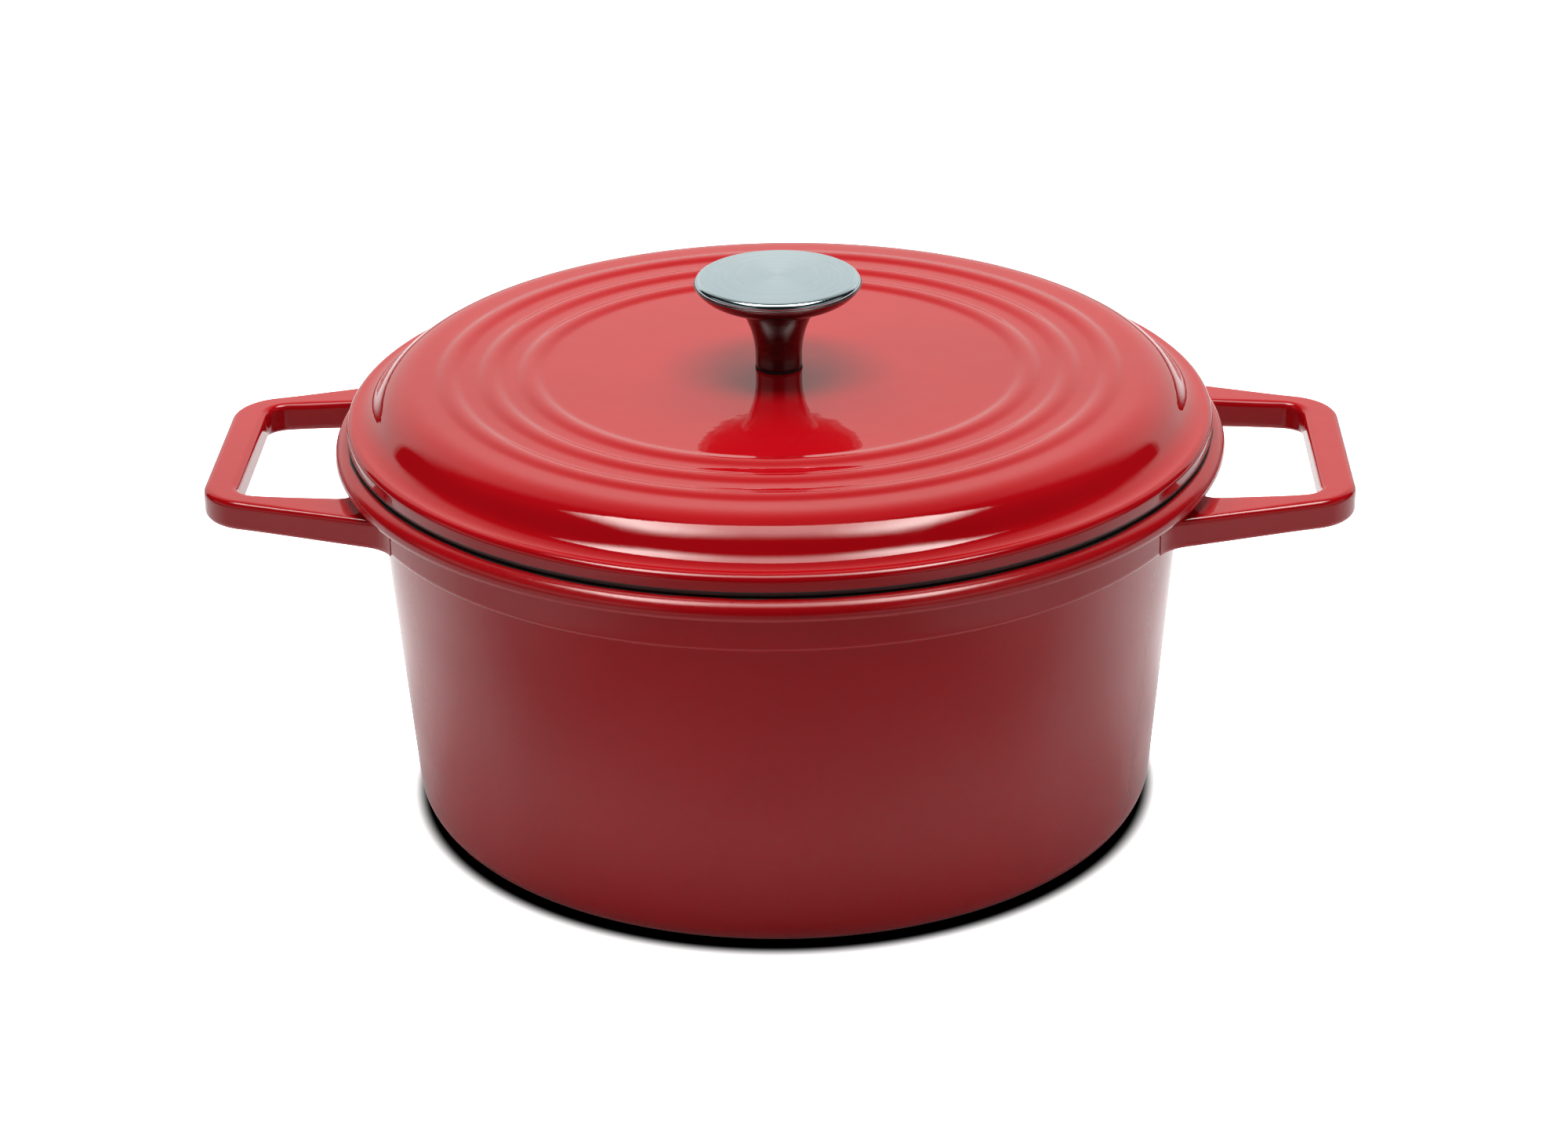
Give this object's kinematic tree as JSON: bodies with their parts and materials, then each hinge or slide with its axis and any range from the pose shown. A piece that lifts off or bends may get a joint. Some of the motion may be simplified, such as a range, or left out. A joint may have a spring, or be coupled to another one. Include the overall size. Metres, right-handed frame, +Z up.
{
  "type": "dutch oven",
  "caption": "Round enamelled cast iron pot with loop handles and a close-fitting domed lid lifted by a metal knob, for slow cooking on a hob or in an oven.",
  "frame": {"origin": "on the pot's axis, at the height of the worktop it stands on", "axes": "+Z up the pot's axis, +X through the right handle, -Y toward the cook"},
  "size_m": [0.3526, 0.276, 0.171],
  "materials": {
    "red_enamel": "glossy red vitreous enamel fused on cast iron",
    "lid_enamel": "glossy red vitreous enamel fused on cast iron",
    "brushed_cap": "stainless steel, spun and brushed in circles",
    "polished_stem": "stainless steel, polished",
    "insert_steel": "plain turned steel",
    "gasket_rubber": "black rubber",
    "screw_steel": "bright steel fastener",
    "washer_steel": "pressed steel washer",
    "spring_steel": "oiled spring steel"
  },
  "bodies": {
    "pot": {"pot_body": "red_enamel"},
    "lid": {"lid": "lid_enamel", "knob_gasket": "gasket_rubber", "flat_washer": "washer_steel", "lock_washer": "spring_steel"},
    "knob": {"knob_cap": "brushed_cap", "knob_stem": "polished_stem", "knob_insert": "insert_steel"},
    "screw": {"knob_screw": "screw_steel"}
  },
  "joints": [
    {"name": "lid_lift", "type": "slide", "parent": "pot", "child": "lid", "axis": [0, 0, 1], "range_m": [0, 0.16]},
    {"name": "screw_turn", "type": "hinge", "parent": "lid", "child": "screw", "pos_m": [0, 0, 0.14], "axis": [0, 0, 1], "range_deg": [0, 4320]},
    {"name": "knob_rise", "type": "slide", "parent": "lid", "child": "knob", "axis": [0, 0, 1], "range_m": [0, 0.012]}
  ],
  "couplings": [
    {"joint": "screw_turn", "follows": "knob_rise", "rad_per_m": 6283.2}
  ]
}
